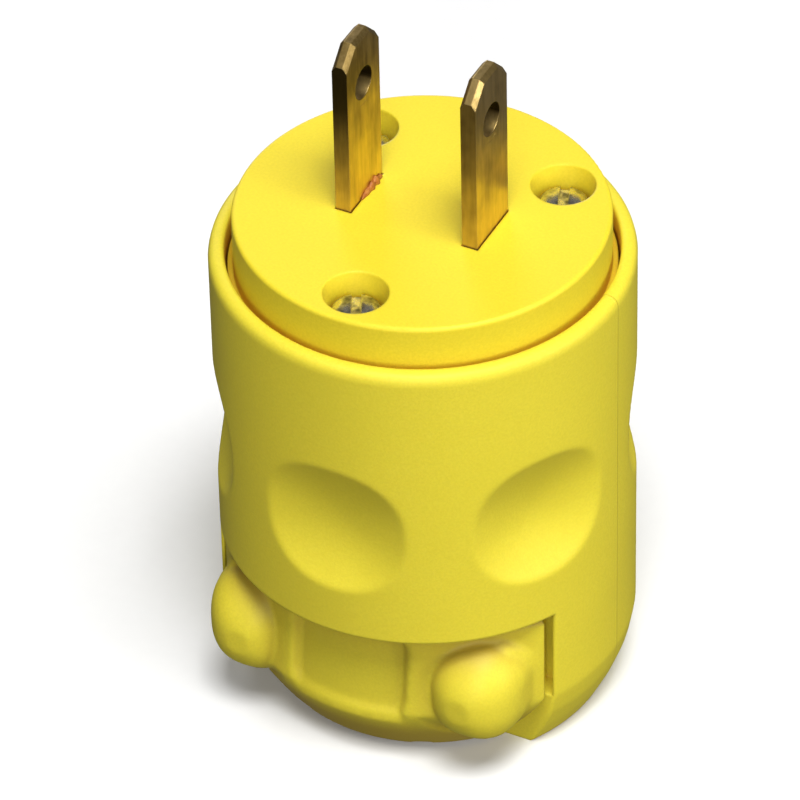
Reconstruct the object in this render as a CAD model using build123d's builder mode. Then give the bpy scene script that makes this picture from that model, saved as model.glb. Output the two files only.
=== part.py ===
"""Two-blade power plug: a soft vinyl shell, a face with two brass blades, and a cord clamp in its tail.

+Z is the plug's axis, with the blades up. The origin is the middle of the cord entry, in the plane of
the rear end. The clamp jaw faces -Y, and the blades lie side by side along X. Sizes are in millimetres.
"""

from math import cos, hypot, radians, sin
import os

from build123d import *

# Shell outside
shell_radius = 19.5
shell_height = 48.3
rim_round = 0.9
rim_inner_round = 0.25
tail_end_inset = 2.2
tail_height = 6.6
tail_bulge = 0.45

# Shell inside
rim_wall = 1.55
mouth_depth = 10.3
seat_ledge = 2.15
floor_height = 20.5
funnel_flare = 3.2
throat_height = 17.4
cord_radius = 6.2

# Finger dimples
dimple_count = 6
dimple_valley_drop = 18.0
dimple_depth = 1.9
dimple_above = 5.3
dimple_below = 8.2
dimple_half_width = 8.2
dimple_end_round = 4.4
dimple_valley_round = 3.6
dimple_edge_round = 0.5

# Face and its fixing screws
face_stand = 3.7
face_gap = 0.7
face_thickness = 4.5
face_edge_round = 0.35
skirt_clearance = 0.2
skirt_drop = 1.9
skirt_wall = 2.3
barrier_thickness = 1.6
screw_edge_distance = 4.7
side_screw_angle = 41
front_slot_angle = 116
right_slot_angle = 110
left_slot_angle = 75
boss_radius = 3.6
shank_radius = 1.75
hole_clearance = 0.2
head_radius = 2.35
head_height = 2.0
head_sink = 1.5
recess_clearance = 0.2
recess_flare = 0.45
face_screw_length = 18.5

# Blades
blade_spacing = 12.7
blade_width = 6.35
blade_thickness = 1.5
blade_length = 17.7
blade_tip_chamfer = 1.7
blade_coin_chamfer = 0.4
blade_hole_radius = 1.98
blade_hole_height = 12.2
blade_slot_clearance = 0.1
bend_inner_radius = 0.4
bend_relief = 0.6
foot_wall_gap = 0.95

# Terminals
terminal_shank_share = 0.21
terminal_head_share = 0.36
plate_share = 0.75
terminal_head_height = 2.2
terminal_screw_length = 3.9
plate_thickness = 1.0
plate_corner_round = 0.6
terminal_window_clearance = 1.2

# Blade carrier behind the face
carrier_thickness = 2.0
carrier_clearance = 0.3
post_inner_reach = 4.9
post_outer_reach = 7.2
post_width = 5.6
fin_thickness = 1.8
fin_side_gap = 6.6
fin_depth = 6.0

# Threaded brass inserts
insert_radius = 2.5
insert_length = 7.0
insert_groove_depth = 0.35
insert_groove_share = 0.3
thread_clearance = 0.03
tip_pocket = 1.5

# Cord clamp
window_top = 16.8
clamp_plane = 8.8
jaw_gap = 0.45
jaw_top_gap = 0.5
jaw_inset = 0.4
jaw_floor = 0.5
jaw_end_inset = 3.85
jaw_tail_height = 5.9
jaw_bulge = 0.2
jaw_edge_round = 0.6
saddle_wall = 1.35
saddle_reach = 3.3
saddle_groove_count = 4
saddle_groove_pitch = 3.4
saddle_groove_depth = 0.7
saddle_groove_width = 1.6
clamp_screw_offset = 0.9
clamp_head_radius = 3.0
clamp_head_height = 2.4
clamp_head_seat = 8.0
clamp_tip_wall = 3.65

# Humps and label recess of the jaw
hump_edge_distance = 7.7
hump_height = 9.25
hump_nose_inset = 1.65
hump_half_width = 4.55
hump_half_height = 5.4
hump_corner_round = 4.1
hump_nose_round = 2.7
hump_depth = 8.0
label_half_width = 5.7
label_bottom = 6.6
label_top = 14.8
label_depth = 0.9
label_corner_round = 1.1

# Slots in the screw heads
drive_slot_width = 0.9
drive_slot_depth = 0.9

# Places worked out from the sizes above
past = 3 * shell_radius
tail_end_radius = shell_radius - tail_end_inset
mouth_radius = shell_radius - rim_wall
cavity_radius = mouth_radius - seat_ledge
funnel_radius = cord_radius + funnel_flare
dimple_valley_height = shell_height - dimple_valley_drop
outline_radius = shell_radius - dimple_depth / 100
face_height = shell_height + face_stand
face_radius = mouth_radius - face_gap
skirt_top = shell_height - skirt_drop
seat_height = shell_height - mouth_depth
carrier_top = seat_height + carrier_thickness
chamber_top = face_height - face_thickness
chamber_radius = mouth_radius - skirt_clearance - skirt_wall
screw_circle_radius = mouth_radius - screw_edge_distance
recess_radius = head_radius + recess_clearance
screw_seat = face_height - head_sink - head_height
face_screw_bottom = screw_seat - face_screw_length
foot_bottom = chamber_top - blade_thickness
plate_bottom = foot_bottom - plate_thickness
foot_reach = chamber_radius - foot_wall_gap
terminal_space = chamber_radius - post_outer_reach
terminal_reach = post_outer_reach + terminal_space / 2
terminal_shank_radius = terminal_space * terminal_shank_share
terminal_head_radius = terminal_space * terminal_head_share
plate_side = terminal_space * plate_share
jaw_plane = clamp_plane + jaw_gap
jaw_top = window_top - jaw_top_gap
jaw_radius = shell_radius - jaw_inset
jaw_end_radius = jaw_radius - jaw_end_inset
hump_nose = jaw_radius - hump_nose_inset
hump_reach = jaw_radius - hump_edge_distance
clamp_screw_reach = hump_reach + clamp_screw_offset
clamp_screw_tip = hump_nose - clamp_tip_wall
clamp_insert_length = clamp_screw_tip - jaw_plane
saddle_half_width = clamp_screw_reach - shank_radius - saddle_wall

os.makedirs("parts", exist_ok=True)


def save(builder, name):
    """Names a finished piece and writes it."""
    builder.part.label = name
    export_step(builder.part, f"parts/{name}.step")


def screw_place(angle):
    """Point of the screw circle at an angle, in degrees."""
    return (screw_circle_radius * cos(radians(angle)), screw_circle_radius * sin(radians(angle)))


def bulged(start, end, bulge):
    """Middle of a shallow arc between two points of a profile, bulging to its right."""
    run, rise = end[0] - start[0], end[1] - start[1]
    chord = hypot(run, rise)
    return ((start[0] + end[0]) / 2 + bulge * rise / chord, (start[1] + end[1]) / 2 - bulge * run / chord)


screw_places = {
    "front": screw_place(-90),
    "right": screw_place(side_screw_angle),
    "left": screw_place(180 - side_screw_angle),
}
slot_angles = {"front": front_slot_angle, "right": right_slot_angle, "left": left_slot_angle}


def machine_screw(seat, radius, height, shank, length, slot_angle):
    """Round-headed screw whose head rests on a plane, with its shank going down from there."""
    with BuildPart() as screw:
        with BuildSketch(seat):
            Circle(radius)
        extrude(amount=height)
        fillet(screw.edges().sort_by(Axis((0, 0, 0), seat.z_dir))[-1], radius=height / 3)
        with BuildSketch(seat.offset(height - drive_slot_depth)):
            Rectangle(past, drive_slot_width, rotation=slot_angle)
        extrude(amount=past, mode=Mode.SUBTRACT)
        with BuildSketch(seat):
            Circle(shank)
        extrude(amount=-length)
        chamfer(screw.edges().sort_by(Axis((0, 0, 0), seat.z_dir))[0], length=shank / 4)
    return screw


def threaded_insert(mouth, length):
    """Brass sleeve with a holding groove, going down from a plane."""
    groove = length * insert_groove_share
    with BuildPart() as insert:
        with BuildSketch(mouth):
            Circle(insert_radius)
        extrude(amount=-length)
        with BuildSketch(mouth.offset(-(length - groove) / 2)):
            Circle(insert_radius + insert_groove_depth)
            Circle(insert_radius - insert_groove_depth, mode=Mode.SUBTRACT)
        extrude(amount=-groove, mode=Mode.SUBTRACT)
        with BuildSketch(mouth):
            Circle(shank_radius + thread_clearance)
        extrude(amount=-length, mode=Mode.SUBTRACT)
    return insert


# Cutter for one finger dimple, on the +X side: a V with a soft valley and round ends, leaning out both ways
cutter_reach = 3 * dimple_depth
cutter_middle = shell_radius - dimple_depth + cutter_reach
with BuildPart() as dimple_cutter:
    with BuildSketch(Plane.XY.offset(dimple_valley_height)) as dimple_plan:
        with Locations((cutter_middle, 0)):
            RectangleRounded(2 * cutter_reach, 2 * dimple_half_width, dimple_end_round)
    for rise in (3 * dimple_above, -3 * dimple_below):
        extrude(dimple_plan.sketch, amount=hypot(cutter_reach, rise), dir=(cutter_reach, 0, rise))
    valley_edges = dimple_cutter.edges().filter_by_position(Axis.Z, dimple_valley_height, dimple_valley_height)
    fillet(valley_edges.sort_by(Axis.X)[:3], radius=dimple_valley_round)


# Shell: one moulding with dimples, screw bosses, clamp window and cord channel
with BuildPart() as shell:
    with BuildSketch(Plane.XZ):
        with BuildLine():
            Line((cord_radius, 0), (tail_end_radius, 0))
            ThreePointArc(
                (tail_end_radius, 0),
                bulged((tail_end_radius, 0), (shell_radius, tail_height), tail_bulge),
                (shell_radius, tail_height),
            )
            Polyline(
                (shell_radius, tail_height),
                (shell_radius, shell_height),
                (mouth_radius, shell_height),
                (mouth_radius, seat_height),
                (cavity_radius, seat_height),
                (cavity_radius, floor_height),
                (funnel_radius, floor_height),
                (cord_radius, throat_height),
                (cord_radius, 0),
            )
        make_face()
    revolve(axis=Axis.Z)
    rim_edges = shell.edges().filter_by(GeomType.CIRCLE).group_by(Axis.Z)[-1].sort_by(SortBy.RADIUS)
    fillet(rim_edges[-1], radius=rim_round)
    fillet(rim_edges[0], radius=rim_inner_round)
    with PolarLocations(0, dimple_count, start_angle=-90):
        add(dimple_cutter.part, mode=Mode.SUBTRACT)
    outlines = shell.edges(Select.LAST).filter_by(lambda edge: hypot(*tuple(edge @ 0.5)[:2]) > outline_radius)
    fillet(outlines, radius=dimple_edge_round)
    with BuildSketch(Plane.XY.offset(floor_height)):
        with Locations(*screw_places.values()):
            Circle(boss_radius)
    extrude(amount=seat_height - floor_height)
    with BuildSketch(Plane.XY.offset(seat_height)):
        with Locations(*screw_places.values()):
            Circle(insert_radius)
    extrude(amount=-insert_length, mode=Mode.SUBTRACT)
    with BuildSketch(Plane.XY.offset(seat_height - insert_length)):
        with Locations(*screw_places.values()):
            Circle(shank_radius + hole_clearance)
    extrude(amount=face_screw_bottom - tip_pocket - seat_height + insert_length, mode=Mode.SUBTRACT)
    with BuildSketch(Plane.XY):
        with Locations((0, -clamp_plane - past / 2)):
            Rectangle(past, past)
        with Locations((0, -(clamp_plane + saddle_reach) / 2 + jaw_gap / 2)):
            Rectangle(2 * (saddle_half_width + jaw_gap), clamp_plane - saddle_reach + jaw_gap)
    extrude(amount=window_top, mode=Mode.SUBTRACT)
    for reach in (-clamp_screw_reach, clamp_screw_reach):
        with BuildSketch(Plane((reach, clamp_head_seat, hump_height), x_dir=(1, 0, 0), z_dir=(0, 1, 0))):
            Circle(clamp_head_radius + hole_clearance)
        extrude(amount=past, mode=Mode.SUBTRACT)
        with BuildSketch(Plane((reach, clamp_head_seat, hump_height), x_dir=(1, 0, 0), z_dir=(0, 1, 0))):
            Circle(shank_radius + hole_clearance)
        extrude(amount=-past, mode=Mode.SUBTRACT)
save(shell, "shell")


# Hump over one end of the clamp screws, on the +X side
with BuildPart() as hump:
    with BuildSketch(Plane.XZ.offset(hump_nose)):
        with Locations((hump_reach, hump_height)):
            RectangleRounded(2 * hump_half_width, 2 * hump_half_height, hump_corner_round)
    extrude(amount=-hump_depth)
    fillet(hump.faces().sort_by(Axis.Y)[0].edges(), radius=hump_nose_round)


# Pocket for the label, with a floor that follows the jaw's curve
with BuildPart() as label_pocket:
    with BuildSketch(Plane.XZ):
        with Locations((0, (label_bottom + label_top) / 2)):
            RectangleRounded(2 * label_half_width, label_top - label_bottom, label_corner_round)
    extrude(amount=past)
    with BuildSketch(Plane.XY):
        Circle(jaw_radius - label_depth)
    extrude(amount=past, mode=Mode.SUBTRACT)


# Clamp jaw: a curved cover with two humps outside and a ribbed saddle inside
with BuildPart() as clamp_jaw:
    with BuildSketch(Plane.XZ):
        with BuildLine():
            ThreePointArc(
                (jaw_end_radius, jaw_floor),
                bulged((jaw_end_radius, jaw_floor), (jaw_radius, jaw_floor + jaw_tail_height), jaw_bulge),
                (jaw_radius, jaw_floor + jaw_tail_height),
            )
            Polyline(
                (jaw_radius, jaw_floor + jaw_tail_height),
                (jaw_radius, jaw_top),
                (0, jaw_top),
                (0, jaw_floor),
                (jaw_end_radius, jaw_floor),
            )
        make_face()
    revolve(axis=Axis.Z)
    fillet(clamp_jaw.edges().filter_by(GeomType.CIRCLE).group_by(Axis.Z)[-1], radius=jaw_edge_round)
    add(hump.part)
    mirror(hump.part, about=Plane.YZ)
    add(label_pocket.part, mode=Mode.SUBTRACT)
    with BuildSketch(Plane.XY):
        with Locations((0, past / 2 - jaw_plane)):
            Rectangle(past, past)
        with Locations((0, -(jaw_plane + saddle_reach) / 2)):
            Rectangle(2 * saddle_half_width, jaw_plane - saddle_reach, mode=Mode.SUBTRACT)
    extrude(amount=past, mode=Mode.SUBTRACT)
    with BuildSketch(Plane.XY):
        Circle(cord_radius)
    extrude(amount=past, mode=Mode.SUBTRACT)
    groove_base = (jaw_floor + jaw_top) / 2 - (saddle_groove_count - 1) * saddle_groove_pitch / 2
    for index in range(saddle_groove_count):
        groove_middle = groove_base + index * saddle_groove_pitch
        with BuildSketch(Plane.XY.offset(groove_middle - saddle_groove_width / 2)):
            Circle(cord_radius + saddle_groove_depth)
        extrude(amount=saddle_groove_width, mode=Mode.SUBTRACT)
    for reach in (-clamp_screw_reach, clamp_screw_reach):
        with BuildSketch(Plane((reach, -jaw_plane, hump_height), x_dir=(1, 0, 0), z_dir=(0, 1, 0))):
            Circle(insert_radius)
        extrude(amount=-clamp_insert_length, mode=Mode.SUBTRACT)
        with BuildSketch(Plane((reach, -jaw_plane, hump_height), x_dir=(1, 0, 0), z_dir=(0, 1, 0))):
            Circle(shank_radius + hole_clearance)
        extrude(amount=-(clamp_screw_tip - jaw_plane + hole_clearance), mode=Mode.SUBTRACT)
save(clamp_jaw, "clamp_jaw")


# Face: a round cap that stands proud of the rim, hollow behind for the terminals
with BuildPart() as face_insert:
    with BuildSketch(Plane.XZ):
        with BuildLine():
            Polyline(
                (0, face_height),
                (face_radius, face_height),
                (face_radius, skirt_top),
                (mouth_radius - skirt_clearance, skirt_top),
                (mouth_radius - skirt_clearance, carrier_top),
                (chamber_radius, carrier_top),
                (chamber_radius, chamber_top),
                (0, chamber_top),
                close=True,
            )
        make_face()
    revolve(axis=Axis.Z)
    fillet(face_insert.edges().group_by(Axis.Z)[-1], radius=face_edge_round)
    with BuildSketch(Plane.XY.offset(carrier_top)):
        with Locations(*screw_places.values()):
            Circle(boss_radius)
        with Locations((0, (chamber_radius + skirt_wall / 2 - screw_circle_radius) / 2)):
            Rectangle(barrier_thickness, chamber_radius + skirt_wall / 2 + screw_circle_radius)
    extrude(amount=chamber_top - carrier_top)
    with BuildSketch(Plane.XY.offset(carrier_top)):
        with Locations(*screw_places.values()):
            Circle(shank_radius + hole_clearance)
    extrude(amount=face_thickness + chamber_top - carrier_top, mode=Mode.SUBTRACT)
    for place in screw_places.values():
        with BuildSketch(Plane.XY.offset(screw_seat)):
            with Locations(place):
                Circle(recess_radius)
        with BuildSketch(Plane.XY.offset(face_height)):
            with Locations(place):
                Circle(recess_radius + recess_flare)
        loft(mode=Mode.SUBTRACT)
    with BuildSketch(Plane.XY.offset(chamber_top)):
        with GridLocations(blade_spacing, 0, 2, 1):
            Rectangle(blade_thickness + 2 * blade_slot_clearance, blade_width + 2 * blade_slot_clearance)
    extrude(amount=face_thickness, mode=Mode.SUBTRACT)
    with BuildSketch(Plane.XY.offset(chamber_top)):
        with GridLocations(blade_spacing, 0, 2, 1):
            Rectangle(blade_thickness + 2 * bend_relief, blade_width + 2 * blade_slot_clearance)
    extrude(amount=bend_relief, mode=Mode.SUBTRACT)
    with BuildSketch(Plane.XY.offset(chamber_top)):
        with GridLocations(2 * terminal_reach, 0, 2, 1):
            Circle(terminal_shank_radius + hole_clearance)
    extrude(amount=terminal_screw_length - plate_thickness - blade_thickness + hole_clearance, mode=Mode.SUBTRACT)
save(face_insert, "face_insert")


# Blade carrier: a plate with posts that press the blade feet against the face, and a fin between the wires
with BuildPart() as blade_carrier:
    with BuildSketch(Plane.XY.offset(seat_height)):
        Circle(mouth_radius - carrier_clearance)
        with Locations(*screw_places.values()):
            Circle(shank_radius + hole_clearance, mode=Mode.SUBTRACT)
        with GridLocations(2 * terminal_reach, 0, 2, 1):
            Circle(terminal_head_radius + terminal_window_clearance, mode=Mode.SUBTRACT)
    extrude(amount=carrier_thickness)
    with BuildSketch(Plane.XY.offset(carrier_top)):
        with GridLocations(post_inner_reach + post_outer_reach, 0, 2, 1):
            Rectangle(post_outer_reach - post_inner_reach, post_width)
    extrude(amount=foot_bottom - carrier_top)
    with BuildSketch(Plane.XY.offset(seat_height)):
        Rectangle(fin_thickness, 2 * (cavity_radius - fin_side_gap))
    extrude(amount=-fin_depth)
save(blade_carrier, "blade_carrier")


# Right blade: brass strip with a chamfered, coined tip, and a foot bent outwards for its terminal
tip_height = face_height + blade_length
blade_inner = (blade_spacing - blade_thickness) / 2
blade_outer = blade_inner + blade_thickness
with BuildPart() as blade_right:
    with BuildSketch(Plane.XZ) as blade_section:
        with BuildLine():
            Polyline(
                (blade_inner, foot_bottom),
                (foot_reach, foot_bottom),
                (foot_reach, chamber_top),
                (blade_outer, chamber_top),
                (blade_outer, tip_height),
                (blade_inner, tip_height),
                close=True,
            )
        make_face()
        fillet(blade_section.vertices().sort_by_distance((blade_outer, chamber_top))[0], radius=bend_inner_radius)
        fillet(
            blade_section.vertices().sort_by_distance((blade_inner, foot_bottom))[0],
            radius=bend_inner_radius + blade_thickness,
        )
    extrude(amount=blade_width / 2, both=True)
    chamfer(blade_right.faces().sort_by(Axis.Z)[-1].edges().filter_by(Axis.X), length=blade_tip_chamfer)
    coin_start = tip_height - blade_tip_chamfer
    tip_edges = blade_right.edges().filter_by(lambda edge: edge.center().Z > coin_start)
    chamfer(tip_edges.filter_by(Axis.X, reverse=True), length=blade_coin_chamfer)
    with BuildSketch(Plane.YZ):
        with Locations((0, face_height + blade_hole_height)):
            Circle(blade_hole_radius)
    extrude(amount=past, mode=Mode.SUBTRACT)
    with BuildSketch(Plane.XY.offset(foot_bottom)):
        with Locations((terminal_reach, 0)):
            Circle(terminal_shank_radius + thread_clearance)
    extrude(amount=blade_thickness, mode=Mode.SUBTRACT)
save(blade_right, "blade_right")

with BuildPart() as blade_left:
    mirror(blade_right.part, about=Plane.YZ)
save(blade_left, "blade_left")


# Terminals: a square plate and a binding screw under each blade foot
for side, reach in (("left", -terminal_reach), ("right", terminal_reach)):
    with BuildPart() as wire_clamp:
        with BuildSketch(Plane.XY.offset(plate_bottom)):
            with Locations((reach, 0)):
                RectangleRounded(plate_side, plate_side, plate_corner_round)
                Circle(terminal_shank_radius + hole_clearance, mode=Mode.SUBTRACT)
        extrude(amount=plate_thickness)
    save(wire_clamp, f"wire_clamp_{side}")
    seat = Plane((reach, 0, plate_bottom), x_dir=(1, 0, 0), z_dir=(0, 0, -1))
    terminal_screw = machine_screw(
        seat, terminal_head_radius, terminal_head_height, terminal_shank_radius, terminal_screw_length, 0
    )
    save(terminal_screw, f"terminal_screw_{side}")


# Face screws and the inserts they go into
for side, place in screw_places.items():
    seat = Plane((*place, screw_seat))
    face_screw = machine_screw(
        seat, head_radius, head_height, shank_radius, face_screw_length, slot_angles[side]
    )
    save(face_screw, f"face_screw_{side}")
    save(threaded_insert(Plane((*place, seat_height)), insert_length), f"shell_insert_{side}")


# Clamp screws and the inserts in the jaw
for side, reach in (("left", -clamp_screw_reach), ("right", clamp_screw_reach)):
    seat = Plane((reach, clamp_head_seat, hump_height), x_dir=(1, 0, 0), z_dir=(0, 1, 0))
    clamp_screw = machine_screw(
        seat, clamp_head_radius, clamp_head_height, shank_radius, clamp_head_seat + clamp_screw_tip, 45
    )
    save(clamp_screw, f"clamp_screw_{side}")
    mouth = Plane((reach, -jaw_plane, hump_height), x_dir=(1, 0, 0), z_dir=(0, 1, 0))
    save(threaded_insert(mouth, clamp_insert_length), f"clamp_insert_{side}")
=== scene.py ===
"""Finishes the yellow two-blade plug: moulded vinyl, brass blades, plated screws, a pale table and soft light."""

import math

import bmesh
import bpy
from bpy.props import FloatProperty, FloatVectorProperty, IntProperty, PointerProperty
from mathutils import Matrix, Vector, noise
import numpy as np


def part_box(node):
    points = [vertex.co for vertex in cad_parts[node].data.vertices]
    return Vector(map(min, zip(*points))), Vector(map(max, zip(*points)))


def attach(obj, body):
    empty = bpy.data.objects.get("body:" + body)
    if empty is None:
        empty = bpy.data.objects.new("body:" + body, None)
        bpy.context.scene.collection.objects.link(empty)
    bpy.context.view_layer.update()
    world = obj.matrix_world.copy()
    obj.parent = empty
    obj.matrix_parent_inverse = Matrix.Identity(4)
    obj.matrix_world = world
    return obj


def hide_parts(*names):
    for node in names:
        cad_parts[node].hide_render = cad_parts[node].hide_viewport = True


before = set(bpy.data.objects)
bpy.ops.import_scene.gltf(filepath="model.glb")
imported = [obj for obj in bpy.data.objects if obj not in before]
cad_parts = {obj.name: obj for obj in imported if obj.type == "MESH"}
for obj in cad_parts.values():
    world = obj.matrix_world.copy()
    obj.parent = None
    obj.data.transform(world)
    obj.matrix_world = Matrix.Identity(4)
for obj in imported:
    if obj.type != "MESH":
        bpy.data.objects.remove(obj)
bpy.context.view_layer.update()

bl_info = {
    "name": "Two-blade plug",
    "version": (1, 0, 0),
    "blender": (4, 5, 0),
    "location": "View3D > Sidebar > Plug",
    "description": "Finishes a cord-end plug: vinyl shell, blades, screws and the table it stands on",
    "category": "Object",
}

MM = 0.001


def length_setting(label, description, size):
    """Length in millimetres, as a property."""
    return FloatProperty(name=label, description=description, subtype="DISTANCE", unit="LENGTH", default=size * MM)


def colour_setting(label, description, value):
    """Colour, as a property."""
    return FloatVectorProperty(name=label, description=description, subtype="COLOR", size=3, default=value)


def angle_setting(label, description, degrees):
    """Angle in degrees, as a property."""
    return FloatProperty(
        name=label, description=description, subtype="ANGLE", unit="ROTATION", default=math.radians(degrees)
    )


class VinylSettings(bpy.types.PropertyGroup):
    """Moulded vinyl of the shell, the clamp jaw and the face."""

    shell_colour: colour_setting("Shell colour", "Colour of the shell and the jaw", (0.84, 0.705, 0.042))
    face_colour: colour_setting("Face colour", "Colour of the face", (0.86, 0.69, 0.028))
    # Painted shade: the crevice colour is painted into gaps and corners as shade with a reddish bounce glow.
    crevice_shade_colour: colour_setting("Crevice colour", "Deeper tint in gaps and corners", (0.64, 0.27, 0.012))
    # Painted shade: this colour darkens the jaw where the shell's edge overhangs it.
    overhang_shade_colour: colour_setting(
        "Sheltered colour", "Duller tint of the jaw under the shell's edge", (0.40, 0.27, 0.03)
    )
    roughness: FloatProperty(
        name="Roughness", description="Roughness of the moulded surface", subtype="FACTOR", default=0.54
    )
    grain_size: length_setting("Grain size", "Size of the mould texture's grains", 0.26)
    grain_height: length_setting("Grain height", "Height of the mould texture", 0.018)
    edge_round: length_setting("Edge round", "Radius of the softest moulded edges", 0.35)
    parting_width: length_setting("Parting line", "Width of the line where the mould halves meet", 0.16)


class MetalSettings(bpy.types.PropertyGroup):
    """Brass of the blades and inserts, and the plating of the screws."""

    brass_colour: colour_setting("Brass colour", "Colour of clean brass", (0.76, 0.54, 0.20))
    tarnish_colour: colour_setting("Tarnish colour", "Colour of handled, tarnished brass", (0.19, 0.125, 0.035))
    plating_colour: colour_setting("Plating colour", "Colour of the screws' plating", (0.86, 0.83, 0.76))
    hole_height: length_setting("Hole height", "Height of the tip holes above the face", 12.5)
    hole_radius: length_setting("Hole radius", "Radius of the tip holes", 1.6)
    blade_inner: length_setting("Blade inner face", "Distance of a blade's inner face from the axis", 5.6)
    blade_outer: length_setting("Blade outer face", "Distance of a blade's outer face from the axis", 7.1)
    streak_width: length_setting("Streak width", "Width of the drawing streaks along the blades", 0.5)


class ShellSettings(bpy.types.PropertyGroup):
    """Outer skin of the shell and its finger dimples."""

    radius: length_setting("Radius", "Outer radius of the shell", 19.5)
    height: length_setting("Height", "Height of the rim", 48.3)
    inner_radius: length_setting("Inner radius", "Inner radius of the skin below the mouth", 16.4)
    core_radius: length_setting("Core radius", "Radius that the inner forms are kept to", 16.8)
    dimple_half_width: length_setting("Dimple half width", "Half the width of a dimple, along the skin", 7.1)
    dimple_half_height: length_setting("Dimple half height", "Half the height of a dimple", 7.0)
    dimple_middle: length_setting("Dimple middle", "Height of the dimples' middle", 29.0)
    dimple_depth: length_setting("Dimple depth", "Depth of a dimple", 2.15)
    dimple_count: IntProperty(name="Dimples", description="Dimples round the shell", default=6)
    clamp_plane: length_setting("Clamp plane", "Distance of the window's floor from the axis", 8.8)
    window_top: length_setting("Window top", "Height of the clamp window", 16.8)
    slit_inner: length_setting("Slit inner side", "Distance of the slits' inner sides from the middle", 15.4)
    slit_outer: length_setting("Slit outer side", "Distance of the slits' outer sides from the middle", 17.1)
    slit_depth: length_setting("Slit depth", "Depth of the slits beside the jaw", 2.3)
    slit_foot: length_setting("Slit foot", "Height of the slits' lower ends", 6.5)
    bore_reach: length_setting("Bore reach", "Distance of the clamp screws from the middle", 12.3)
    bore_height: length_setting("Bore height", "Height of the clamp screws", 9.25)
    bore_radius: length_setting("Bore radius", "Radius of the bores for the clamp screws' heads", 3.2)
    bore_seat: length_setting("Bore seat", "Depth of the seats of the clamp screws, from the axis", 8.0)


class JawSettings(bpy.types.PropertyGroup):
    """Soft skin of the clamp jaw."""

    skin_step: length_setting("Skin step", "Width of the skin's faces", 0.2)
    softening: IntProperty(
        name="Softening", description="How often the skin's edges and corners are relaxed", default=12
    )
    lean: length_setting("Lean", "How far the front leans in towards its top", 2.1)
    lip_height: length_setting("Lip height", "Height of the lower lip of the label pocket", 6.6)
    lip_round: length_setting("Lip round", "How far the lower lip rounds off", 1.3)
    label_half_width: length_setting("Label half width", "Half the width of the label pocket", 5.7)
    pocket_back: length_setting("Pocket back", "Distance of the softened pocket edges from the axis", 12.0)
    gap_start: length_setting("Gap start", "Distance from the middle where the gap beside the jaw opens", 15.0)
    gap_width: length_setting("Gap width", "Width of the gap beside the jaw", 1.0)
    hump_nose: length_setting("Hump nose", "Distance of the humps' noses from the axis", 17.6)
    dome_depth: length_setting("Dome depth", "Depth over which a hump is domed", 5.0)
    hump_reach: length_setting("Hump reach", "Distance of the humps from the middle", 11.4)
    hump_height: length_setting("Hump height", "Height of the humps' middle", 9.25)
    hump_half_width: length_setting("Hump half width", "Half the width of a hump", 4.55)
    hump_half_height: length_setting("Hump half height", "Half the height of a hump", 5.4)


class FixingSettings(bpy.types.PropertyGroup):
    """Screws and the threaded inserts they go into."""

    thread_pitch: length_setting("Thread pitch", "Pitch of the machine threads", 0.7)
    thread_depth: length_setting("Thread depth", "Depth of the machine threads", 0.3)
    insert_thread_depth: length_setting("Insert thread depth", "Depth of the threads in the inserts", 0.1)
    insert_bore_radius: length_setting("Insert bore radius", "Radius of the inserts' bores", 1.78)
    slot_width: length_setting("Slot width", "Width of the slots in the heads", 0.9)
    slot_depth: length_setting("Slot depth", "Depth of the slots in the heads", 0.9)
    knurl_depth: length_setting("Knurl depth", "Depth of the knurls on the inserts", 0.18)
    knurl_count: IntProperty(name="Knurl count", description="Knurls round an insert", default=22)


class StageSettings(bpy.types.PropertyGroup):
    """Camera and lamps."""

    aim: FloatVectorProperty(
        name="Aim", description="Point that the camera looks at", subtype="TRANSLATION", unit="LENGTH",
        size=3, default=(-1.15 * MM, -2.97 * MM, 31.42 * MM),
    )
    azimuth: angle_setting("Azimuth", "Turn of the camera round the plug", 27.39)
    elevation: angle_setting("Elevation", "Height of the camera over the horizon", 39.77)
    roll: angle_setting("Roll", "Tilt of the camera about its own axis", -1.37)
    distance: length_setting("Distance", "Distance from the camera to the aim", 600)
    lens: FloatProperty(name="Lens", description="Focal length in millimetres", default=293.5)
    lamp_distance: length_setting("Lamp distance", "Distance from the lamps to the plug", 1000)
    lamp_width: length_setting("Lamp width", "Width of each soft lamp", 350)
    surround: FloatProperty(name="Surround", description="Strength of the white surround", default=0.12)


def node(tree, kind, inputs=None, **settings):
    """New node with its settings, and its inputs joined or set by name or number."""
    made = tree.nodes.new(kind)
    for name, value in settings.items():
        setattr(made, name, value)
    for name, value in (inputs or {}).items():
        if isinstance(value, bpy.types.NodeSocket):
            tree.links.new(value, made.inputs[name])
        else:
            made.inputs[name].default_value = value
    return made


def sum_of(tree, operation, *values):
    """Output of a maths node."""
    return node(tree, "ShaderNodeMath", dict(enumerate(values)), operation=operation).outputs[0]


def span(tree, value, low, high, start=0.0, end=1.0, smooth=False):
    """Value taken from one range to another and held there."""
    made = node(
        tree,
        "ShaderNodeMapRange",
        {"Value": value, "From Min": low, "From Max": high, "To Min": start, "To Max": end},
        interpolation_type="SMOOTHSTEP" if smooth else "LINEAR",
    )
    return made.outputs["Result"]


def blend(tree, share, first, second):
    """Mix of two colours."""
    made = node(tree, "ShaderNodeMix", data_type="RGBA")
    for socket, value in ((made.inputs[0], share), (made.inputs[6], first), (made.inputs[7], second)):
        if isinstance(value, bpy.types.NodeSocket):
            tree.links.new(value, socket)
        else:
            socket.default_value = value if socket.type == "VALUE" else (*value, 1.0)
    return made.outputs[2]


def cloud(tree, place, size, detail=2.0, roughness=0.5):
    """Noise with features of a size in metres."""
    made = node(
        tree, "ShaderNodeTexNoise", {"Vector": place, "Scale": 1 / size, "Detail": detail, "Roughness": roughness}
    )
    return made.outputs["Fac"]


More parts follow.
